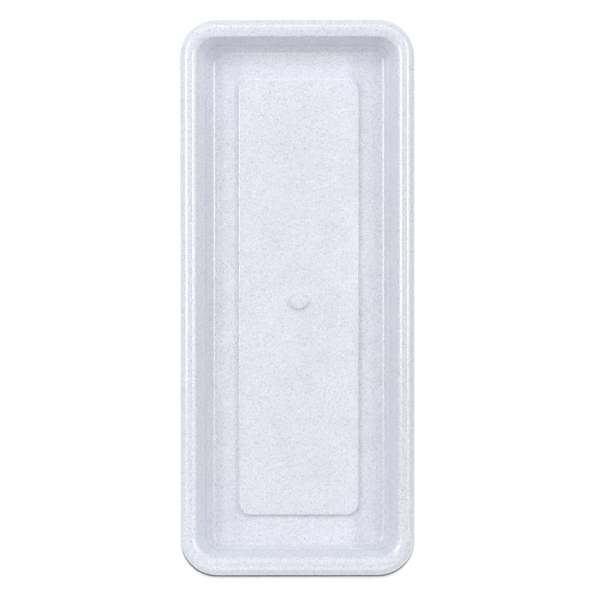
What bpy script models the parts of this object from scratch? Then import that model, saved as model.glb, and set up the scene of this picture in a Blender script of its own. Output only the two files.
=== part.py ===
# Plant saucer: a shallow oblong tray that stands under a window box and catches its water.
# It is one moulding of speckled plastic, with the same wall all over.
# Metres, +Z up. X runs across the saucer and Y along it.
# The origin is in the middle of the underside, on the surface that the saucer stands on.

import math

import bmesh
import bpy

# Overall size
LENGTH = 0.400
WIDTH = 0.169
HEIGHT = 0.030
WALL = 0.002
CORNER_RADIUS = 0.0265

# Rolled rim: rounds on both sides of its crown, and a skirt that hangs outside the walls
RIM_OUTER_ROUND = 0.007
RIM_INNER_ROUND = 0.0064
SKIRT_DROP = 0.007

# Sloping walls, measured level from the outer edge of the rim to the edge of the floor
SIDE_WALL_RUN = 0.0253
END_WALL_RUN = 0.0253
FLOOR_FILLET = 0.0045
FLOOR_CORNER_RADIUS = 0.005

# Raised panel on the floor, which sits a little towards +Y
PANEL_SIDE_MARGIN = 0.01545
PANEL_END_MARGIN = 0.0171
PANEL_SHIFT = 0.0013
PANEL_RISE = 0.0025
PANEL_RUN = 0.0013
PANEL_FOOT_ROUND = 0.0003
PANEL_EDGE_ROUND = 0.0008
PANEL_CORNER_RADIUS = 0.00925

# Boss near the middle, where the plastic flowed into the mould, and how far off the middle it is
BOSS_RIGHT = 0.0008
BOSS_BACK = 0.0017
BOSS_RADIUS = 0.005
BOSS_RISE = 0.0034
BOSS_RUN = 0.0014
BOSS_FOOT_ROUND = 0.0003
BOSS_EDGE_ROUND = 0.0009

# Stub of the cut-off sprue, inside the hollow under the boss
STUB_RADIUS = 0.0009
STUB_DROP = 0.0008

# Facets on a corner seen from above, on a large round in section, and on a small one
CORNER_SEGMENTS = 10
ROUND_SEGMENTS = 4
SMALL_ROUND_SEGMENTS = 2

# Pale lilac-white plastic with a satin gloss
PLASTIC_COLOUR = (0.76, 0.78, 0.86, 1.0)
PLASTIC_ROUGHNESS = 0.35

QUARTER_TURN = math.pi / 2


def clear_scene():
    """Remove every object that is already in the scene."""
    for old in list(bpy.data.objects):
        bpy.data.objects.remove(old)


def make_plastic():
    """The material of the whole moulding."""
    plastic = bpy.data.materials.new("speckled_plastic")
    plastic.use_nodes = True
    shader = plastic.node_tree.nodes["Principled BSDF"]
    shader.inputs["Base Color"].default_value = PLASTIC_COLOUR
    shader.inputs["Roughness"].default_value = PLASTIC_ROUGHNESS
    shader.inputs["Metallic"].default_value = 0.0
    return plastic


def slope_tilt(across, rise, rounds):
    """Tilt from level of the straight slope that touches two rounds, one hollow and one proud.

    across and rise lead from one round's centre to the other's, and rounds is
    the sum of their radii."""
    return math.atan2(rise, across) + math.asin(rounds / math.hypot(across, rise))


def arc(centre, radius, start, stop, segments=ROUND_SEGMENTS):
    """Section points on a round, as insets and heights.

    The angles give the tilt of the surface from level, and are positive where
    it faces the middle. A negative radius makes a hollow round."""
    inset, height = centre
    angles = [start + (stop - start) * step / segments for step in range(segments + 1)]
    return [(inset + radius * math.sin(a), height + radius * math.cos(a)) for a in angles]


def wall_section(run):
    """Section of wall and rim in three lists: the foot inside, rim and skirt, the foot outside."""
    foot = (run, WALL + FLOOR_FILLET)
    inner = (RIM_OUTER_ROUND, HEIGHT - RIM_INNER_ROUND)
    outer = (RIM_OUTER_ROUND, HEIGHT - RIM_OUTER_ROUND)
    hem = (WALL / 2, HEIGHT - RIM_OUTER_ROUND - SKIRT_DROP)
    tilt = slope_tilt(foot[0] - inner[0], inner[1] - foot[1], RIM_INNER_ROUND + FLOOR_FILLET)
    foot_inside = arc(foot, -FLOOR_FILLET, 0, tilt)
    rim = arc(inner, RIM_INNER_ROUND, tilt, 0)
    rim += arc(outer, RIM_OUTER_ROUND, 0, -QUARTER_TURN)[1:]
    rim += arc(hem, WALL / 2, -QUARTER_TURN, -3 * QUARTER_TURN)
    rim += arc(outer, RIM_OUTER_ROUND - WALL, -QUARTER_TURN, 0)
    rim += arc(inner, RIM_INNER_ROUND - WALL, 0, tilt)[1:]
    foot_outside = arc(foot, -(FLOOR_FILLET + WALL), tilt, 0)
    return foot_inside, rim, foot_outside


def step_section(run, rise, foot_round, edge_round):
    """Section of a raised step, from its foot on the level to its edge, and its slope's tilt."""
    tilt = slope_tilt(run, rise - foot_round - edge_round, foot_round + edge_round)
    foot = arc((0, foot_round), foot_round, math.pi, math.pi - tilt, SMALL_ROUND_SEGMENTS)
    edge = arc((run, rise - edge_round), edge_round, -tilt, 0, SMALL_ROUND_SEGMENTS)
    return foot + edge, tilt


def oblong_ring(mesh, half_width, half_length, radius, side_height, end_height, shift=0.0):
    """Vertices round an oblong with round corners, anticlockwise from +X.

    The height may differ between the long sides and the ends."""
    ring = []
    for quadrant in range(4):
        side = 1 if quadrant in (0, 3) else -1
        end = 1 if quadrant in (0, 1) else -1
        for step in range(CORNER_SEGMENTS + 1):
            turn = QUARTER_TURN * (quadrant + step / CORNER_SEGMENTS)
            x = side * (half_width - radius) + radius * math.cos(turn)
            y = end * (half_length - radius) + radius * math.sin(turn) + shift
            share = math.sin(turn) ** 2
            ring.append(mesh.verts.new((x, y, side_height + (end_height - side_height) * share)))
    return ring


def circle_ring(mesh, radius, height):
    """Vertices round a circle about the boss, as many as on an oblong ring."""
    count = 4 * (CORNER_SEGMENTS + 1)
    ring = []
    for index in range(count):
        turn = 2 * math.pi * (index + 0.5) / count
        x = BOSS_RIGHT + radius * math.cos(turn)
        y = radius * math.sin(turn) - BOSS_BACK
        ring.append(mesh.verts.new((x, y, height)))
    return ring


def boss_rings(mesh, level, inward):
    """Rings up the boss from the level of the panel, drawn in by the given amount."""
    section, _ = step_section(BOSS_RUN, BOSS_RISE, BOSS_FOOT_ROUND, BOSS_EDGE_ROUND)
    return [circle_ring(mesh, BOSS_RADIUS - inward - inset, level + up) for inset, up in section]


def panel_rings(mesh, level, inward):
    """Rings up the edge of the panel from the level of the floor, drawn in by the given amount."""
    section, _ = step_section(PANEL_RUN, PANEL_RISE, PANEL_FOOT_ROUND, PANEL_EDGE_ROUND)
    rings = []
    for inset, up in section:
        drawn_in = inward + inset
        half_width = WIDTH / 2 - SIDE_WALL_RUN - PANEL_SIDE_MARGIN - drawn_in
        half_length = LENGTH / 2 - END_WALL_RUN - PANEL_END_MARGIN - drawn_in
        radius = PANEL_CORNER_RADIUS - drawn_in
        height = level + up
        rings.append(oblong_ring(mesh, half_width, half_length, radius, height, height, PANEL_SHIFT))
    return rings


def wall_rings(mesh):
    """Rings from the floor up the inside, over the rim and skirt, and back down the outside."""
    rings = []
    sections = zip(wall_section(SIDE_WALL_RUN), wall_section(END_WALL_RUN), (True, False, True))
    for side_points, end_points, is_foot in sections:
        for (side_inset, side_height), (end_inset, end_height) in zip(side_points, end_points):
            radius = CORNER_RADIUS - side_inset
            if is_foot:
                radius = FLOOR_CORNER_RADIUS + SIDE_WALL_RUN - side_inset
            half_width = WIDTH / 2 - side_inset
            half_length = LENGTH / 2 - end_inset
            rings.append(oblong_ring(mesh, half_width, half_length, radius, side_height, end_height))
    return rings


def underside_shift(run, rise, foot_round, edge_round):
    """How far a step under the floor is drawn in, so that the wall is as thick on the slope."""
    _, tilt = step_section(run, rise, foot_round, edge_round)
    return WALL * math.tan(tilt / 2)


def make_tray(plastic):
    """The whole moulding: rings from the top of the boss, out over the rim, and back below."""
    mesh = bmesh.new()
    panel_top = WALL + PANEL_RISE
    panel_inward = underside_shift(PANEL_RUN, PANEL_RISE, PANEL_FOOT_ROUND, PANEL_EDGE_ROUND)
    boss_inward = underside_shift(BOSS_RUN, BOSS_RISE, BOSS_FOOT_ROUND, BOSS_EDGE_ROUND)
    well_top = PANEL_RISE + BOSS_RISE
    rings = boss_rings(mesh, panel_top, 0)[::-1]
    rings += panel_rings(mesh, WALL, 0)[::-1]
    rings += wall_rings(mesh)
    rings += panel_rings(mesh, 0, panel_inward)
    rings += boss_rings(mesh, PANEL_RISE, boss_inward)
    rings += [circle_ring(mesh, STUB_RADIUS, height) for height in (well_top, well_top - STUB_DROP)]
    for ring, following in zip(rings, rings[1:]):
        for index in range(len(ring)):
            before = index - 1
            mesh.faces.new((ring[before], ring[index], following[index], following[before]))
    mesh.faces.new(rings[0])
    mesh.faces.new(rings[-1])
    bmesh.ops.recalc_face_normals(mesh, faces=mesh.faces)
    data = bpy.data.meshes.new("saucer_tray")
    mesh.to_mesh(data)
    mesh.free()
    data.shade_smooth()
    data.set_sharp_from_angle(angle=math.radians(40))
    data.materials.append(plastic)
    tray = bpy.data.objects.new("saucer_tray", data)
    bpy.context.scene.collection.objects.link(tray)
    return tray


clear_scene()
make_tray(make_plastic())
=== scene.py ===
# %% [markdown]
# # A speckled plant saucer
# This lesson dresses one plain moulding: an oblong drip tray for a window box.
# The construction, with its real sizes, comes from the imported model. What is left to
# make here is what the eye reads as plastic: soft rounds, a satin gloss, granite-like
# flecks, the marks that a mould leaves, painted shade along a crease of the wall, and
# studio light that draws two thin lines along the rim.

# %% Load the imported model
import math

import bmesh
import bpy
from mathutils import Matrix, Vector


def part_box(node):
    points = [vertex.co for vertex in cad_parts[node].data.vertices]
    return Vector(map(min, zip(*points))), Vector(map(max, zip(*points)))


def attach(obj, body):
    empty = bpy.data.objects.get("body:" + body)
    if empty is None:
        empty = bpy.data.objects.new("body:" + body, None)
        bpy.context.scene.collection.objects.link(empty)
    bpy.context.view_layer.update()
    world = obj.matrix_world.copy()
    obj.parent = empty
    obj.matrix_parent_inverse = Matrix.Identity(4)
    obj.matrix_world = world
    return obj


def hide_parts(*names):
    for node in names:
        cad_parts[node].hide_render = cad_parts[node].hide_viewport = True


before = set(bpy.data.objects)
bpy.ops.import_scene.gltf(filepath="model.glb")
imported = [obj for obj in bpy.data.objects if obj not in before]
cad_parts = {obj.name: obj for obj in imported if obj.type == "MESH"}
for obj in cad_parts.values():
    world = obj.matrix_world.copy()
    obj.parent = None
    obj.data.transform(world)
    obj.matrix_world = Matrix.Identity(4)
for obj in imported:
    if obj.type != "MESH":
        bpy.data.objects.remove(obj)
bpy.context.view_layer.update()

low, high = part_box("saucer_tray")
LENGTH = high.y - low.y
WIDTH = high.x - low.x
HEIGHT = high.z - low.z
print(f"tray of {WIDTH * 1000:.1f} x {LENGTH * 1000:.1f} x {HEIGHT * 1000:.1f} mm")

# %% [markdown]
# ## The camera
# The picture is a product shot taken from far away with a long lens, so the long sides
# stay parallel. The camera looks down into the tray from a little towards its near end:
# the far wall shows its whole face, and the near end shows the outside of its rim. A
# camera could be placed by eye, but two small tilts and the size of a pixel at the rim
# can be measured in the picture, and they settle the whole view.

# %% Place the camera
PHOTO_PIXELS = 600
METRES_PER_PIXEL = 0.0007197
CAMERA_DISTANCE = 16.0
SENSOR_WIDTH = 36.0
TILT_TO_NEAR_END = math.radians(3.3)
TILT_TO_RIGHT = math.radians(1.8)
AIM_RIGHT = 0.00134
AIM_UP = -0.0009


def place_camera():
    """A long lens above the tray, with +Y up in the picture."""
    back = Vector((math.tan(TILT_TO_RIGHT), -math.tan(TILT_TO_NEAR_END), 1)).normalized()
    right = Vector((0, 1, 0)).cross(back).normalized()
    up = back.cross(right)
    aim = right * AIM_RIGHT + up * AIM_UP
    data = bpy.data.cameras.new("camera")
    data.sensor_width = SENSOR_WIDTH
    data.lens = SENSOR_WIDTH * (CAMERA_DISTANCE - HEIGHT) / (PHOTO_PIXELS * METRES_PER_PIXEL)
    data.clip_end = 4 * CAMERA_DISTANCE
    camera = bpy.data.objects.new("camera", data)
    bpy.context.scene.collection.objects.link(camera)
    turn = Matrix((right, up, back)).transposed()
    camera.matrix_world = Matrix.Translation(aim + back * CAMERA_DISTANCE) @ turn.to_4x4()
    bpy.context.scene.camera = camera
    return camera


camera = place_camera()
bpy.context.scene.view_settings.view_transform = "Standard"
print(f"lens of {camera.data.lens:.0f} mm at {CAMERA_DISTANCE} m")

# %% [markdown]
# ## Rounds and slopes
# A moulded tray is one section swept round a plan with round corners. The section could
# be traced point by point, but a mould maker thinks in radii and slopes, and a section
# made of those stays smooth at any size. Three formulas are enough: one gives the tilt
# of a slope that touches two rounds, one steps along a round, and one finds the centre
# of a round that takes over from another.

# %% Rounds and slopes
ROUND_SEGMENTS = 14
SMALL_ROUND_SEGMENTS = 6
QUARTER_TURN = math.pi / 2


def slope_tilt(across, rise, rounds):
    """Tilt from level of the straight slope that touches two rounds, one hollow, one proud."""
    return math.atan2(rise, across) + math.asin(rounds / math.hypot(across, rise))


def arc(centre, radius, start, stop, segments=ROUND_SEGMENTS):
    """Section points on a round, as insets from the outer edge and heights.

    The angles are tilts of the surface from level, positive where it faces the middle,
    and a negative radius makes a hollow round."""
    inset, height = centre
    angles = [start + (stop - start) * step / segments for step in range(segments + 1)]
    return [(inset + radius * math.sin(a), height + radius * math.cos(a)) for a in angles]


def next_centre(centre, radius, next_radius, tilt):
    """Centre of a second round that takes over from the first one at the given tilt."""
    towards = Vector((math.sin(tilt), math.cos(tilt)))
    return Vector(centre) + (radius - next_radius) * towards


print(f"{ROUND_SEGMENTS} facets on a large round, {SMALL_ROUND_SEGMENTS} on a small one")

# %% [markdown]
# ## The inner face
# Seen closely, the inner face is not one slope. A faint dark line runs round it at about
# a third of its height: there a short stretch stands steeper than the slopes on each
# side, as where two inserts of a mould meet. A groove would give a dark line too, but
# with a bright one beside it, and the photo shows none. So the two slopes are set to
# miss each other, and a narrow steep stretch with soft corners joins them.
# The plastic's colour is painted darker along that line too: painted shade that deepens it.

# %% Inner face
LOWER_TILT = math.radians(62)
UPPER_TILT = math.radians(70.8)
CREASE_INSET = 0.0179
CREASE_WIDTH = 0.0004
CORNER_SHARE = 1 / 3
BLEND_SEGMENTS = 4


def blend(before, corner, after):
    """Section points that round off a corner between two others, on a quadratic curve."""
    points = []
    for step in range(BLEND_SEGMENTS + 1):
        t = step / BLEND_SEGMENTS
        spot = (1 - t) ** 2 * Vector(before) + 2 * t * (1 - t) * Vector(corner) + t ** 2 * Vector(after)
        points.append(tuple(spot))
    return points


def inner_face(foot_end, rim_start):
    """Section points of the steep stretch between the slope off the foot and the slope off the rim."""
    inner, outer = CREASE_INSET + CREASE_WIDTH / 2, CREASE_INSET - CREASE_WIDTH / 2
    low_corner = Vector((inner, foot_end[1] + (foot_end[0] - inner) * math.tan(LOWER_TILT)))
    high_corner = Vector((outer, rim_start[1] - (outer - rim_start[0]) * math.tan(UPPER_TILT)))
    reach = CREASE_WIDTH * CORNER_SHARE
    below = Vector((reach, -reach * math.tan(LOWER_TILT)))
    between = (high_corner - low_corner) * CORNER_SHARE
    above = Vector((-reach, reach * math.tan(UPPER_TILT)))
    face = blend(low_corner + below, low_corner, low_corner + between)
    return face + blend(high_corner - between, high_corner, high_corner + above)


print(f"crease {CREASE_INSET * 1000:.1f} mm in from the outer edge")

# %% [markdown]
# ## The rim
# The rim is wide: a round crown, a nearly straight shoulder towards the inside that turns
# down sharply at its edge, and a larger round on the outside. A bevel would give one
# radius and lose the shoulder. The shine of a rim comes from how its rounds meet, so each
# round here starts at the tilt where the last one ends.

# %% Section of the rim
RIM_OUTER_ROUND = 0.007
RIM_CROWN_ROUND = 0.0058
RIM_CROWN_TILT = math.radians(26)
RIM_SHOULDER_ROUND = 0.014
RIM_SHOULDER_TILT = math.radians(38)
RIM_EDGE_ROUND = 0.0015


def rim_section():
    """Section points of the rim that show, from the top of the wall to the top of the skirt."""
    crown = Vector((RIM_OUTER_ROUND, HEIGHT - RIM_CROWN_ROUND))
    shoulder = next_centre(crown, RIM_CROWN_ROUND, RIM_SHOULDER_ROUND, RIM_CROWN_TILT)
    edge = next_centre(shoulder, RIM_SHOULDER_ROUND, RIM_EDGE_ROUND, RIM_SHOULDER_TILT)
    outer = (RIM_OUTER_ROUND, HEIGHT - RIM_OUTER_ROUND)
    points = arc(edge, RIM_EDGE_ROUND, UPPER_TILT, RIM_SHOULDER_TILT, SMALL_ROUND_SEGMENTS)
    points += arc(shoulder, RIM_SHOULDER_ROUND, RIM_SHOULDER_TILT, RIM_CROWN_TILT, SMALL_ROUND_SEGMENTS)[1:]
    points += arc(crown, RIM_CROWN_ROUND, RIM_CROWN_TILT, 0)[1:]
    points += arc(outer, RIM_OUTER_ROUND, 0, -QUARTER_TURN)[1:]
    return points


print(f"{len(rim_section())} points round the rim")

# %% [markdown]
# ## The whole wall
# From the floor a hollow round leads into the wall, and outside the rim a skirt hangs
# down to a round hem. The hidden side follows 2 mm behind. A Solidify modifier could make
# that side, but it would copy the faint line and the sharp edge of the rim too. A mould's
# core is plainer, so the hidden side has rounds of its own.

# %% Section of the wall
WALL = 0.002
CORNER_RADIUS = 0.0265
RIM_INNER_ROUND = 0.0064
SKIRT_DROP = 0.007
WALL_RUN = 0.0253
FLOOR_FILLET = 0.0045
FLOOR_CORNER_RADIUS = 0.005


def wall_section():
    """Sections of the polished side and of the grained side, from foot to hem and back.

    They hold insets, heights and shares of rim. The share is 0 on the foot of the wall and
    1 on the rim: it sets which of the two the corner rounds of a ring follow."""
    foot = (WALL_RUN, WALL + FLOOR_FILLET)
    inner = (RIM_OUTER_ROUND, HEIGHT - RIM_INNER_ROUND)
    outer = (RIM_OUTER_ROUND, HEIGHT - RIM_OUTER_ROUND)
    hem = (WALL / 2, HEIGHT - RIM_OUTER_ROUND - SKIRT_DROP)
    tilt = slope_tilt(foot[0] - inner[0], inner[1] - foot[1], RIM_INNER_ROUND + FLOOR_FILLET)
    foot_inside = arc(foot, -FLOOR_FILLET, 0, LOWER_TILT)
    rim = rim_section()
    rim += arc(hem, WALL / 2, -QUARTER_TURN, -2 * QUARTER_TURN, SMALL_ROUND_SEGMENTS)
    under_rim = arc(hem, WALL / 2, -2 * QUARTER_TURN, -3 * QUARTER_TURN, SMALL_ROUND_SEGMENTS)[1:]
    under_rim += arc(outer, RIM_OUTER_ROUND - WALL, -QUARTER_TURN, 0)
    under_rim += arc(inner, RIM_INNER_ROUND - WALL, 0, tilt)[1:]
    foot_outside = arc(foot, -(FLOOR_FILLET + WALL), tilt, 0)
    bottom, top = foot_inside[-1][1], rim[0][1]
    face = [spot + ((spot[1] - bottom) / (top - bottom),) for spot in inner_face(foot_inside[-1], rim[0])]
    polished = [spot + (0.0,) for spot in foot_inside] + face + [spot + (1.0,) for spot in rim]
    grained = [spot + (1.0,) for spot in under_rim] + [spot + (0.0,) for spot in foot_outside]
    return polished, grained


print(f"{sum(len(side) for side in wall_section())} points round the wall's section")

# %% [markdown]
# ## Rings in plan
# Each point of the section becomes a ring of vertices: an oblong with round corners, or
# a circle for the boss. All rings have the same number of vertices, so two neighbours
# are joined by plain quads. The straight stretches are cut up too, because the long
# sides of a real tray aren't dead straight: the plastic shrinks as it cools and draws
# the left side in by half a millimetre. The floor, too, sits a little to the right.

# %% Oblong rings
CORNER_SEGMENTS = 20
LONG_SEGMENTS = 24
SHORT_SEGMENTS = 10
SIDE_DRAW_IN = 0.0005
FLOOR_SHIFT = 0.0004


def drawn_in(x, y):
    """Where a point of the left side goes, drawn in more and more towards the near end."""
    if x >= 0:
        return x
    along = 0.5 + y / LENGTH
    return x * (1 - SIDE_DRAW_IN / (WIDTH / 2) * (1 - along ** 3))


def plan_points(half_width, half_length, radius):
    """Points round an oblong with round corners, anticlockwise from the far right corner."""
    points = []
    headings = (Vector((-1, 0)), Vector((0, -1)), Vector((1, 0)), Vector((0, 1)))
    for quadrant, heading in enumerate(headings):
        side = 1 if quadrant in (0, 3) else -1
        end = 1 if quadrant in (0, 1) else -1
        centre = Vector((side * (half_width - radius), end * (half_length - radius)))
        for step in range(CORNER_SEGMENTS + 1):
            turn = QUARTER_TURN * (quadrant + step / CORNER_SEGMENTS)
            points.append(centre + radius * Vector((math.cos(turn), math.sin(turn))))
        half_side, count = (half_width, SHORT_SEGMENTS) if heading.x else (half_length, LONG_SEGMENTS)
        start = points[-1]
        for step in range(1, count):
            points.append(start + heading * 2 * (half_side - radius) * step / count)
    return points


def oblong_ring(mesh, half_width, half_length, radius, height, shift=(0.0, 0.0)):
    """Vertices round an oblong at one height, shifted along X and Y."""
    points = [point + Vector(shift) for point in plan_points(half_width, half_length, radius)]
    return [mesh.verts.new((drawn_in(x, y), y, height)) for x, y in points]


RING_COUNT = len(plan_points(WIDTH / 2, LENGTH / 2, CORNER_RADIUS))
print(f"{RING_COUNT} vertices in each ring")

# %% [markdown]
# ## A step
# The panel and the boss are both steps in one skin, pressed up from below so that the
# wall keeps its thickness. A bevelled box would do for the top, but not for the hollow
# underneath, so a step is a section too: a small round at its foot, a nearly upright
# side, and a narrow chamfer between two small rounds at its edge. The chamfer leans just
# so much that it throws the light of a low lamp up to the camera: it draws the bright
# line that the photo shows along the panel. A short level stretch at each end keeps the
# smooth shading of the rounds off the flat faces.

# %% Section of a step
FOOT_ROUND = 0.0001
EDGE_ROUND = 0.0002
TOP_ROUND = 0.0003
CHAMFER_TILT = math.radians(20.5)
FLAT_STRIP = 0.0003


def chamfered_edge(top, chamfer):
    """Section points of a chamfered edge up to its top point, and the centre of its outer round."""
    slope = Vector((math.cos(CHAMFER_TILT), math.sin(CHAMFER_TILT)))
    outward = Vector((-slope.y, slope.x))
    top_centre = Vector((top[0], top[1] - TOP_ROUND))
    edge_centre = top_centre + (TOP_ROUND - EDGE_ROUND) * outward - chamfer * slope
    points = arc(top_centre, TOP_ROUND, -CHAMFER_TILT, 0, SMALL_ROUND_SEGMENTS)
    return points + [(top[0] + FLAT_STRIP, top[1])], edge_centre


def step_section(run, rise, chamfer):
    """Section of a raised step from its foot to its top, and the tilt of its side."""
    edge, edge_centre = chamfered_edge((run, rise), chamfer)
    tilt = slope_tilt(edge_centre.x, edge_centre.y - FOOT_ROUND, FOOT_ROUND + EDGE_ROUND)
    points = [(-FLAT_STRIP, 0)]
    points += arc((0, FOOT_ROUND), FOOT_ROUND, math.pi, math.pi - tilt, SMALL_ROUND_SEGMENTS)
    points += arc(edge_centre, EDGE_ROUND, -tilt, -CHAMFER_TILT, SMALL_ROUND_SEGMENTS)
    return points + edge, tilt


print(f"chamfers lean {math.degrees(CHAMFER_TILT):.1f} degrees")

# %% [markdown]
# ## The raised panel
# The floor has a raised panel a little to the right of the middle and towards the far
# end. The shadow beside it tells its height. Below it is a recess of the same form,
# drawn in by as much as keeps the side as thick as the floor.

# %% Panel rings
PANEL_SIDE_MARGIN = 0.01580
PANEL_END_MARGIN = 0.01745
PANEL_SHIFT = (0.00047, 0.00102)
PANEL_RISE = 0.0025
PANEL_RUN = 0.0008
PANEL_CHAMFER = 0.0004
PANEL_CORNER_RADIUS = 0.0088
panel_section, panel_tilt = step_section(PANEL_RUN, PANEL_RISE, PANEL_CHAMFER)


def panel_rings(mesh, level, inward):
    """Rings up the side of the panel from the level of the floor, drawn in likewise."""
    rings = []
    for inset, up in panel_section:
        half_width = WIDTH / 2 - WALL_RUN - PANEL_SIDE_MARGIN - inward - inset
        half_length = LENGTH / 2 - WALL_RUN - PANEL_END_MARGIN - inward - inset
        radius = PANEL_CORNER_RADIUS - inward - inset
        rings.append(oblong_ring(mesh, half_width, half_length, radius, level + up, PANEL_SHIFT))
    return rings


print(f"panel {PANEL_RISE * 1000:.1f} mm proud, its side at {math.degrees(panel_tilt):.0f} degrees")

# %% [markdown]
# ## The boss and the stub
# Near the middle the molten plastic came in, and a small round boss is left there. Its
# top has a low second disc, whose edge shows as a bright ring. Below the boss is a plain
# round well, in which the stub of the cut-off sprue stays clear of the ground: a short
# peg with a broken, slightly domed end.

# %% Boss, well and stub rings
BOSS_PLACE = (0.0008, -0.0017)
BOSS_RADIUS = 0.0062
BOSS_RISE = 0.0026
BOSS_RUN = 0.0006
BOSS_CHAMFER = 0.00003
DISC_RADIUS = 0.0044
DISC_CHAMFER = 0.0006
WELL_RADIUS = 0.0036
WELL_RUN = 0.0004
STUB_RADIUS = 0.0009
STUB_DROP = 0.0008
STUB_PROFILE = ((1.5, 0), (1.1, 0.15), (1, 0.5), (0.92, 1), (0.5, 0.85))
boss_section, boss_tilt = step_section(BOSS_RUN, BOSS_RISE, BOSS_CHAMFER)
well_section, _ = step_section(WELL_RUN, BOSS_RISE, BOSS_CHAMFER)


def disc_section():
    """Section of the low disc on the boss, as distances from the foot of the boss and heights."""
    foot = (BOSS_RADIUS - DISC_RADIUS, BOSS_RISE + FOOT_ROUND)
    points = arc(foot, -FOOT_ROUND, 0, -CHAMFER_TILT, SMALL_ROUND_SEGMENTS)
    across, up = math.cos(CHAMFER_TILT), math.sin(CHAMFER_TILT)
    top = (
        points[-1][0] + DISC_CHAMFER * across + TOP_ROUND * up,
        points[-1][1] + DISC_CHAMFER * up + TOP_ROUND * (1 - across),
    )
    return points + chamfered_edge(top, 0)[0]


def circle_rings(mesh, section, radius, level):
    """Rings round the boss up a section, with as many vertices as on an oblong ring."""
    turns = [2 * math.pi * index / RING_COUNT for index in range(RING_COUNT)]
    x, y = BOSS_PLACE
    rings = []
    for inset, up in section:
        reach = radius - inset
        spots = [(x + reach * math.cos(t), y + reach * math.sin(t), level + up) for t in turns]
        rings.append([mesh.verts.new(spot) for spot in spots])
    return rings


def well_rings(mesh, level):
    """Rings from the underside of the panel up into the well and down the stub."""
    stub = [(-STUB_RADIUS * width, BOSS_RISE - STUB_DROP * drop) for width, drop in STUB_PROFILE]
    return circle_rings(mesh, well_section, WELL_RADIUS, level) + circle_rings(mesh, stub, 0, level)


print(f"boss {BOSS_RISE * 1000:.1f} mm above the panel, its side at {math.degrees(boss_tilt):.0f} degrees")

# %% [markdown]
# ## The whole moulding
# The rings run from the top of the boss out over the floor, up the wall, over the rim,
# down the skirt and back under the tray to the stub: one closed skin. Joining them in
# order is simpler than cutting and welding solids, and leaves no seam. A mark on the
# vertices tells the material later which side of the skin is which.

# %% Build the tray
GRAIN_MARK = "grained"
SHARP_ANGLE = math.radians(40)


def wall_rings(mesh, section):
    """Rings that sweep a section of the wall round the tray."""
    rings = []
    for inset, height, share in section:
        on_foot = FLOOR_CORNER_RADIUS + WALL_RUN - inset
        on_rim = CORNER_RADIUS - inset
        radius = on_foot + (on_rim - on_foot) * share
        shift = (FLOOR_SHIFT * (1 - share) ** 2, 0)
        rings.append(oblong_ring(mesh, WIDTH / 2 - inset, LENGTH / 2 - inset, radius, height, shift))
    return rings


def join_rings(mesh, rings):
    """Quads between neighbouring rings, and a cap on the first and the last."""
    for ring, following in zip(rings, rings[1:]):
        for index in range(len(ring)):
            before = index - 1
            mesh.faces.new((ring[before], ring[index], following[index], following[before]))
    mesh.faces.new(rings[0])
    mesh.faces.new(rings[-1])
    bmesh.ops.recalc_face_normals(mesh, faces=mesh.faces)


def build_tray():
    """The moulding as one mesh object, with a mark on the vertices of its grained side."""
    mesh = bmesh.new()
    polished, grained = wall_section()
    panel_inward = WALL * math.tan(panel_tilt / 2)
    rings = circle_rings(mesh, boss_section + disc_section(), BOSS_RADIUS, WALL + PANEL_RISE)[::-1]
    rings += panel_rings(mesh, WALL, 0)[::-1]
    rings += wall_rings(mesh, polished)
    polished_count = len(rings) * RING_COUNT
    rings += wall_rings(mesh, grained)
    rings += panel_rings(mesh, 0, panel_inward)
    rings += well_rings(mesh, PANEL_RISE)
    join_rings(mesh, rings)
    data = bpy.data.meshes.new("tray")
    mesh.to_mesh(data)
    mesh.free()
    data.shade_smooth()
    data.set_sharp_from_angle(angle=SHARP_ANGLE)
    mark = data.attributes.new(GRAIN_MARK, "FLOAT", "POINT")
    mark.data.foreach_set("value", [float(index >= polished_count) for index in range(len(data.vertices))])
    tray = bpy.data.objects.new("tray", data)
    bpy.context.scene.collection.objects.link(tray)
    return tray


tray = build_tray()
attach(tray, "root")
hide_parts("saucer_tray")
print(f"{len(tray.data.polygons)} faces")

# %% [markdown]
# ## Helpers for nodes
# A material is a tree of nodes. Each node takes three or four lines to add, set and link
# by hand, so four short helpers keep the recipes below readable: one starts a reusable
# group with named sockets, one adds any node, and two add a Math or Vector Math node.

# %% Node helpers


def new_group(name, inputs, outputs):
    """An empty shader group with named sockets. Inputs map a name to its kind and value."""
    group = bpy.data.node_groups.new(name, "ShaderNodeTree")
    for socket, (kind, value) in inputs.items():
        made = group.interface.new_socket(socket, in_out="INPUT", socket_type=kind)
        if value is not None:
            made.default_value = value
    for socket, kind in outputs.items():
        group.interface.new_socket(socket, in_out="OUTPUT", socket_type=kind)
    return group, group.nodes.new("NodeGroupInput"), group.nodes.new("NodeGroupOutput")


def add_node(tree, kind, settings=None, **inputs):
    """A node with its settings and inputs. An input is a value or another node's socket.

    Inputs go by name, with _ for a space, or by place as i0, i1 and so on."""
    node = tree.nodes.new(kind)
    for name, value in (settings or {}).items():
        setattr(node, name, value)
    for name, value in inputs.items():
        socket = node.inputs[int(name[1:])] if name[1:].isdigit() else node.inputs[name.replace("_", " ")]
        if isinstance(value, bpy.types.NodeSocket):
            tree.links.new(value, socket)
        else:
            socket.default_value = value
    return node


def add_maths(tree, operation, first, second=0.0, clamp=False):
    """The result socket of a Math node."""
    settings = {"operation": operation, "use_clamp": clamp}
    return add_node(tree, "ShaderNodeMath", settings, i0=first, i1=second).outputs[0]


def add_vector_maths(tree, operation, first, **inputs):
    """The vector that a Vector Math node gives, from its first input and others as in add_node."""
    return add_node(tree, "ShaderNodeVectorMath", {"operation": operation}, i0=first, **inputs).outputs[0]


print("node helpers ready")

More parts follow.
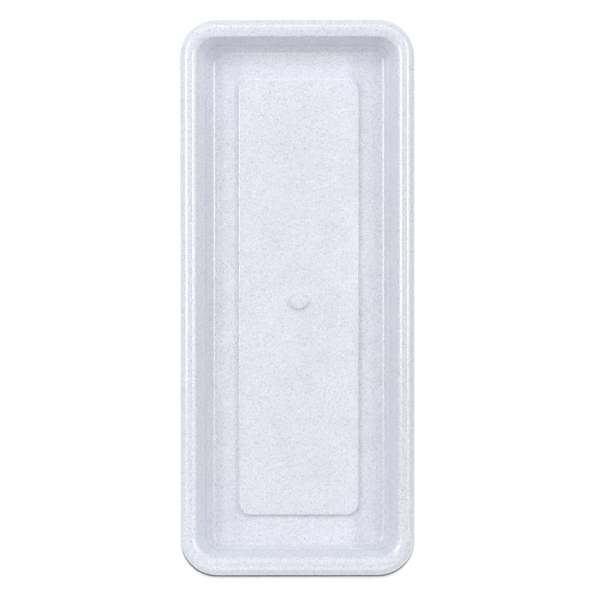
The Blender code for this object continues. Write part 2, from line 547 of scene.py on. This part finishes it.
# %% [markdown]
# ## Grit in the plastic
# The stone look comes from grit stirred into the pale plastic before it is moulded. A
# painted picture would stretch on the walls, so the grit is worked out in space: a 3D
# Voronoi texture drops one grain of random size in each of its cells, and the surface
# cuts through the grains as it does in the real material. A noise bends them out of
# round first. The plastic places this group three times: fine grey, coarse grey and
# pale grit.

# %% Grit group
SWIRLS_PER_CELL = 0.9


def make_grit_group():
    """A mask of grains cut by the surface: 1 in a grain and 0 in the plastic round it."""
    inputs = {
        "Position": ("NodeSocketVector", None),
        "Spacing": ("NodeSocketFloat", 0.001),
        "Largest": ("NodeSocketFloat", 0.5),
        "Share": ("NodeSocketFloat", 0.5),
        "Edge": ("NodeSocketFloat", 0.1),
        "Bend": ("NodeSocketFloat", 0.5),
    }
    tree, given, result = new_group("grit", inputs, {"Mask": "NodeSocketFloat"})
    per_metre = add_maths(tree, "DIVIDE", 1.0, given.outputs["Spacing"])
    cells = add_vector_maths(tree, "SCALE", given.outputs["Position"], Scale=per_metre)
    swirl = add_node(tree, "ShaderNodeTexNoise", Vector=cells, Scale=SWIRLS_PER_CELL, Detail=1.0)
    centred = add_vector_maths(tree, "SUBTRACT", swirl.outputs["Color"], i1=(0.5, 0.5, 0.5))
    bend = add_vector_maths(tree, "SCALE", centred, Scale=given.outputs["Bend"])
    bent = add_vector_maths(tree, "ADD", cells, i1=bend)
    grains = add_node(tree, "ShaderNodeTexVoronoi", Vector=bent, Scale=1.0)
    chance = add_node(tree, "ShaderNodeSeparateColor", i0=grains.outputs["Color"]).outputs[0]
    missing = add_maths(tree, "SUBTRACT", 1.0, given.outputs["Share"])
    drawn = add_maths(tree, "DIVIDE", add_maths(tree, "SUBTRACT", chance, missing), given.outputs["Share"])
    radius = add_maths(tree, "MULTIPLY", drawn, given.outputs["Largest"])
    depth = add_maths(tree, "SUBTRACT", radius, grains.outputs["Distance"])
    mask = add_maths(tree, "DIVIDE", depth, given.outputs["Edge"], clamp=True)
    tree.links.new(mask, result.inputs["Mask"])
    return tree


grit_group = make_grit_group()
print(f"{len(grit_group.nodes)} nodes in the grit group")

# %% [markdown]
# ## Mould finish
# The plastic copies the steel of its mould. The side that shows was polished to a satin
# and ripples by a few thousandths of a millimetre as it cools. The hidden side was
# left with the even, sandy grain of spark erosion. Real bumps of that size would need
# millions of faces, so a group gives them as a height for the shading alone. The grained
# side uses the same group with a finer and deeper grain.

# %% Skin group


def make_skin_group():
    """Height of a mould skin in metres: long ripples and a fine grain."""
    inputs = {
        "Position": ("NodeSocketVector", None),
        "Ripple Length": ("NodeSocketFloat", 0.006),
        "Ripple Height": ("NodeSocketFloat", 0.000005),
        "Grain Length": ("NodeSocketFloat", 0.0006),
        "Grain Height": ("NodeSocketFloat", 0.000002),
    }
    tree, given, result = new_group("mould_skin", inputs, {"Height": "NodeSocketFloat"})
    heights = []
    for part, detail in (("Ripple", 1.0), ("Grain", 2.0)):
        per_metre = add_maths(tree, "DIVIDE", 1.0, given.outputs[f"{part} Length"])
        place = given.outputs["Position"]
        noise = add_node(tree, "ShaderNodeTexNoise", Vector=place, Scale=per_metre, Detail=detail)
        heights.append(add_maths(tree, "MULTIPLY", noise.outputs["Fac"], given.outputs[f"{part} Height"]))
    tree.links.new(add_maths(tree, "ADD", *heights), result.inputs["Height"])
    return tree


skin_group = make_skin_group()
print(f"{len(skin_group.nodes)} nodes in the skin group")

# %% [markdown]
# ## Colour of the plastic
# The plastic is a cool lilac white. Its grains are soft at their edges, because the
# plastic round them lets some light through, and only a little darker or lighter than
# the ground. Along the crease of the wall the colour is painted a shade darker, as
# painted shade that deepens the crease's dark line: a mask by height finds that line
# all round the wall.

# %% Grits and painted crease shade
GROUND_COLOUR = (0.785, 0.807, 0.888, 1)
GRITS = {
    # name: colour, spacing in metres, largest grain, share of cells with a grain, soft edge
    "fine_grit": ((0.585, 0.602, 0.662, 1), 0.00085, 0.75, 0.85, 0.4),
    "coarse_grit": ((0.555, 0.571, 0.628, 1), 0.0012, 0.62, 0.65, 0.4),
    "pale_grit": ((0.985, 0.995, 1.0, 1), 0.0011, 0.74, 0.9, 0.6),
}
GRIT_BEND = 0.8
# painted shade: the colour is darkened in a band at this height, along the crease of the wall
PAINTED_CREASE_HEIGHT = 0.0115
PAINTED_CREASE_REACH = 0.0025
PAINTED_CREASE_SHADE = 0.08


def grit_colour(tree, place):
    """The ground colour with each grit laid over it."""
    colour = GROUND_COLOUR
    for name, (grain_colour, spacing, largest, share, edge) in GRITS.items():
        grit = add_node(
            tree, "ShaderNodeGroup", {"node_tree": grit_group, "name": name},
            Position=place, Spacing=spacing, Largest=largest, Share=share, Edge=edge, Bend=GRIT_BEND,
        )
        mask = grit.outputs["Mask"]
        colour = add_node(tree, "ShaderNodeMix", {"data_type": "RGBA"}, i0=mask, i6=colour, i7=grain_colour)
        colour = colour.outputs[2]
    return colour


def painted_crease_shade_mask(tree, place):
    """A soft mask, by height, of the band round the wall's crease where shade is painted."""
    height = add_node(tree, "ShaderNodeSeparateXYZ", i0=place).outputs[2]
    off = add_maths(tree, "ABSOLUTE", add_maths(tree, "SUBTRACT", height, PAINTED_CREASE_HEIGHT))
    return add_maths(tree, "SUBTRACT", 1.0, add_maths(tree, "DIVIDE", off, PAINTED_CREASE_REACH), clamp=True)


print(f"{len(GRITS)} kinds of grit")

# %% [markdown]
# ## Finish of the plastic
# The polished side is a satin whose gloss wanders a little, and the hidden side is duller.
# They could be two materials, but then a hard edge would run round the hem where they
# meet. So they are one: the mark on the vertices picks the finish, and blends the two
# over one narrow row of faces.

# %% Plastic
SATIN = (0.19, 0.27)
GRAINED = (0.42, 0.52)
CLOUDS_PER_METRE = 60.0
CLOUD_RANGE = (0.3, 0.7)
GRAINED_SKIN = {"Ripple_Length": 0.012, "Grain_Length": 0.0004, "Grain_Height": 0.00002}


def wandering(tree, cloud, finish):
    """A roughness that wanders between the two values of a finish, by a soft cloud."""
    span = {"i1": CLOUD_RANGE[0], "i2": CLOUD_RANGE[1], "i3": finish[0], "i4": finish[1]}
    return add_node(tree, "ShaderNodeMapRange", i0=cloud, **span).outputs[0]


def make_plastic():
    """Pale plastic with grit, satin on one side and grained on the other."""
    material = bpy.data.materials.new("speckled_plastic")
    material.use_nodes = True
    tree = material.node_tree
    shader = tree.nodes["Principled BSDF"]
    place = add_node(tree, "ShaderNodeTexCoord").outputs["Object"]
    side = add_node(tree, "ShaderNodeAttribute", {"attribute_name": GRAIN_MARK}).outputs["Fac"]
    # painted shade: on the polished side the colour is darkened along the crease
    crease_shade = add_maths(tree, "MULTIPLY", painted_crease_shade_mask(tree, place), add_maths(tree, "SUBTRACT", 1.0, side))
    shade = add_maths(tree, "SUBTRACT", 1.0, add_maths(tree, "MULTIPLY", crease_shade, PAINTED_CREASE_SHADE))
    colour = add_vector_maths(tree, "SCALE", grit_colour(tree, place), Scale=shade)
    tree.links.new(colour, shader.inputs["Base Color"])
    noise = add_node(tree, "ShaderNodeTexNoise", Vector=place, Scale=CLOUDS_PER_METRE, Detail=4.0)
    satin = wandering(tree, noise.outputs["Fac"], SATIN)
    grained = wandering(tree, noise.outputs["Fac"], GRAINED)
    rough = add_node(tree, "ShaderNodeMix", i0=side, i2=satin, i3=grained)
    tree.links.new(rough.outputs[0], shader.inputs["Roughness"])
    skin = {"node_tree": skin_group}
    polished_skin = add_node(tree, "ShaderNodeGroup", skin, Position=place).outputs[0]
    grained_skin = add_node(tree, "ShaderNodeGroup", skin, Position=place, **GRAINED_SKIN).outputs[0]
    height = add_node(tree, "ShaderNodeMix", i0=side, i2=polished_skin, i3=grained_skin)
    bump = add_node(tree, "ShaderNodeBump", Strength=1.0, Distance=1.0, Height=height.outputs[0])
    tree.links.new(bump.outputs["Normal"], shader.inputs["Normal"])
    return material


tray.data.materials.append(make_plastic())
print(f"{len(tray.data.materials[0].node_tree.nodes)} nodes in the plastic")

# %% [markdown]
# ## The floor
# The tray lies on a plain pale floor. In the picture the floor is pure white apart from
# the thin dark line under the near rim, so the camera sees a brighter floor than the
# tray does: Light Path tells the two kinds of ray apart. A small glow lifts the floor to
# white, and its white paint still takes the shadow.

# %% Floor
FLOOR_SIZE = 6.0
FLOOR_PAINT = (0.8, 0.8, 0.8, 1)
SEEN_PAINT = (1, 1, 1, 1)
SEEN_GLOW = 0.02


def is_seen(tree):
    """1 for the camera's rays and for reflections, 0 for the light that a surface gets."""
    path = add_node(tree, "ShaderNodeLightPath")
    mirrored = add_maths(tree, "ADD", path.outputs["Is Glossy Ray"], path.outputs["Is Transmission Ray"])
    return add_maths(tree, "ADD", path.outputs["Is Camera Ray"], mirrored, clamp=True)


def make_floor_paint():
    """Plain pale paint that is whiter to the camera and in reflections."""
    material = bpy.data.materials.new("studio_floor")
    material.use_nodes = True
    tree = material.node_tree
    tree.nodes.clear()
    output = add_node(tree, "ShaderNodeOutputMaterial")
    plain = add_node(tree, "ShaderNodeBsdfDiffuse", Color=FLOOR_PAINT)
    white = add_node(tree, "ShaderNodeBsdfDiffuse", Color=SEEN_PAINT)
    glow = add_node(tree, "ShaderNodeEmission", Color=SEEN_PAINT, Strength=SEEN_GLOW)
    seen = add_node(tree, "ShaderNodeAddShader", i0=white.outputs[0], i1=glow.outputs[0])
    mix = add_node(tree, "ShaderNodeMixShader", Fac=is_seen(tree), i1=plain.outputs[0], i2=seen.outputs[0])
    tree.links.new(mix.outputs[0], output.inputs["Surface"])
    return material


def make_floor():
    """A large level floor under the tray."""
    mesh = bmesh.new()
    bmesh.ops.create_grid(mesh, x_segments=1, y_segments=1, size=FLOOR_SIZE / 2)
    data = bpy.data.meshes.new("studio_floor")
    mesh.to_mesh(data)
    mesh.free()
    data.materials.append(make_floor_paint())
    floor = bpy.data.objects.new("studio_floor", data)
    bpy.context.scene.collection.objects.link(floor)
    return floor


floor = make_floor()
print(f"floor of {FLOOR_SIZE} m")

# %% [markdown]
# ## The room
# Beyond the floor is white, as seen by the camera and in the gloss. The light that this
# white room sheds on the tray is much weaker: with more of it, the walls would vanish.

# %% World
WORLD_SHED = 0.15


def make_world():
    """A white room that sheds little light."""
    world = bpy.data.worlds.new("studio")
    world.use_nodes = True
    tree = world.node_tree
    strength = add_node(tree, "ShaderNodeMix", i0=is_seen(tree), i2=WORLD_SHED, i3=1.0).outputs[0]
    sky = tree.nodes["Background"]
    sky.inputs["Color"].default_value = (1, 1, 1, 1)
    tree.links.new(strength, sky.inputs["Strength"])
    bpy.context.scene.world = world


make_world()
print(f"the room sheds {WORLD_SHED:.2f} of its white")

# %% [markdown]
# ## Lamps
# The tray's lamps are flat boxes that each face a spot. Every lamp lights either the
# tray or the floor, by light linking, so the white of the floor can be set without
# touching the tray. Most stand on an arc above the tray: a lamp's lean is its angle from
# straight up, towards +X for the right side or towards +Y for the far end.

# %% Lamp helpers
STUDIO_RADIUS = 1.6
MIDDLE = (0, 0, 0)


def only(name, thing):
    """A collection that holds one thing, for light linking."""
    collection = bpy.data.collections.new(name)
    collection.objects.link(thing)
    return collection


def make_lamp(name, place, aim, width, length, power, lights):
    """A flat lamp that faces a spot, with its length along Y or, facing along Y, along Z."""
    data = bpy.data.lights.new(name, "AREA")
    data.shape = "RECTANGLE"
    data.size = width
    data.size_y = length
    data.energy = power
    lamp = bpy.data.objects.new(name, data)
    bpy.context.scene.collection.objects.link(lamp)
    back = (Vector(place) - Vector(aim)).normalized()
    right = Vector((0, 1, 0)).cross(back)
    right = right.normalized() if right.length > 0.1 else Vector((1, 0, 0))
    turn = Matrix((right, back.cross(right), back)).transposed()
    lamp.matrix_world = Matrix.Translation(place) @ turn.to_4x4()
    lamp.visible_camera = False
    lamp.light_linking.receiver_collection = lights
    return lamp


tray_alone = only("tray_alone", tray)
floor_alone = only("floor_alone", floor)
print("lamp helpers ready")

# %% [markdown]
# ## Softboxes
# A white tray needs soft light from several sides, but not from everywhere. In the photo
# the raised panel throws two shadows on each side, and their widths give the leans of
# the boxes: two on the left, two on the right, two beyond the far end. All side boxes
# stand on the far half, so the far wall lies in its own shade. Two weak boxes beyond the
# near end soften that shade, and a lamp overhead evens the floor.

# %% Softboxes
SIDE_BOX_SIZE = (0.16, 1.2)
END_BOX_SIZE = (1.0, 0.25)
SIDE_BOXES_AHEAD = 0.5
SIDE_BOXES = {
    # name: lean to the right in degrees, and power in watts
    "left_box": (-37, 4.75),
    "low_left_box": (-53, 4.4),
    "right_box": (37, 3.2),
    "low_right_box": (53, 6.2),
}
END_BOXES = {
    # name: lean to the far end in degrees, and power in watts
    "far_box": (42, 3.75),
    "low_far_box": (55, 1.75),
    "near_box": (-60, 1.5),
    "low_near_box": (-75, 0.35),
}
OVERHEAD_PLACE = (0, 0.16, 3.0)
OVERHEAD_SIZE = (0.12, 0.12)
OVERHEAD_POWER = 2.35

for name, (lean, power) in SIDE_BOXES.items():
    angle = math.radians(lean)
    place = (STUDIO_RADIUS * math.sin(angle), SIDE_BOXES_AHEAD, STUDIO_RADIUS * math.cos(angle))
    make_lamp(name, place, (0, SIDE_BOXES_AHEAD, 0), *SIDE_BOX_SIZE, power, tray_alone)
for name, (lean, power) in END_BOXES.items():
    angle = math.radians(lean)
    place = (0, STUDIO_RADIUS * math.sin(angle), STUDIO_RADIUS * math.cos(angle))
    make_lamp(name, place, MIDDLE, *END_BOX_SIZE, power, tray_alone)
make_lamp("overhead_lamp", OVERHEAD_PLACE, MIDDLE, *OVERHEAD_SIZE, OVERHEAD_POWER, tray_alone)
print(f"{len(SIDE_BOXES) + len(END_BOXES) + 1} lamps over the tray")

# %% [markdown]
# ## Close lamps for the rim
# The rounds of the rim look up and out, where the boxes hardly reach. Small cards stand
# just outside them and weak strips hang close above them, so near by that little of
# their light gets as far as the walls. The strips are left out of the gloss, in which
# they would draw a third line.

# %% Cards and strips
CARD_HEIGHT = 0.10
CARDS = {
    # name: place in plan, width, length and power in watts
    "near_card": ((0, -0.24), 0.5, 0.16, 0.10),
    "left_card": ((-0.13, 0), 0.16, 0.8, 0.085),
    "right_card": ((0.13, 0), 0.16, 0.8, 0.03),
}
RIM_STRIP_HEIGHT = 0.07
RIM_STRIPS = {
    # name: place in plan, width, length and power in watts
    "near_strip": ((0, -0.193), 0.2, 0.02, 0.004),
    "far_strip": ((0, 0.193), 0.2, 0.02, 0.0045),
    "left_strip": ((-0.0775, 0), 0.02, 0.44, 0.0085),
    "right_strip": ((0.0775, 0), 0.02, 0.44, 0.0065),
}

for name, ((x, y), width, length, power) in CARDS.items():
    make_lamp(name, (x, y, CARD_HEIGHT), (0, 0, CARD_HEIGHT), width, length, power, tray_alone)
for name, ((x, y), width, length, power) in RIM_STRIPS.items():
    strip = make_lamp(name, (x, y, RIM_STRIP_HEIGHT), (x, y, 0), width, length, power, tray_alone)
    strip.visible_glossy = False
print(f"{len(CARDS) + len(RIM_STRIPS)} lamps close to the rim")

# %% [markdown]
# ## The floor's lamps
# The floor has two far lamps of its own. They shine nearly along the view, so the tray
# hides its own shadow on three sides. Under the near rim a thin line of it shows, and
# the second, softer lamp lets that line fade out.

# %% Floor lamps
FLOOR_LAMPS = {
    # name: lean to the far end and spread in degrees, and strength
    "floor_lamp": (1.55, 1.5, 1.9),
    "soft_floor_lamp": (6.0, 8.0, 0.95),
}

for name, (lean, spread, strength) in FLOOR_LAMPS.items():
    data = bpy.data.lights.new(name, "SUN")
    data.energy = strength
    data.angle = math.radians(spread)
    lamp = bpy.data.objects.new(name, data)
    bpy.context.scene.collection.objects.link(lamp)
    lamp.rotation_euler = (-math.radians(lean), TILT_TO_RIGHT, 0)
    lamp.light_linking.receiver_collection = floor_alone
print(f"{len(FLOOR_LAMPS)} lamps for the floor")

# %% [markdown]
# ## Lines of gloss
# Two thin bright lines run along the rims, the feet of the side walls and the edges of
# the panel. They are reflections of narrow tubes, and such a tube would also light the
# panel unevenly. So the tubes here show in gloss alone. They end near the middle of the
# tray, as the lines do. A wide screen on the near side is seen in gloss alone too: it
# lifts the rounds of the far rim, which face it, without filling the shadows.

# %% Gloss tubes
GLOSS_LAMPS = {
    # name: place, the spot it faces, width, length and power in watts
    "left_tube": ((-0.47, 0.144, 0.47), (0, 0.144, 0), 0.05, 0.31, 1.5),
    "right_tube": ((0.93, 0.18, 1.12), (0, 0.18, 0), 0.10, 0.30, 3.3),
    "near_screen": ((0, -1.23, 1.03), MIDDLE, 1.6, 1.0, 8.0),
}

for name, values in GLOSS_LAMPS.items():
    lamp = make_lamp(name, *values, tray_alone)
    lamp.visible_diffuse = False
print(f"{len(GLOSS_LAMPS)} lamps seen in gloss alone")
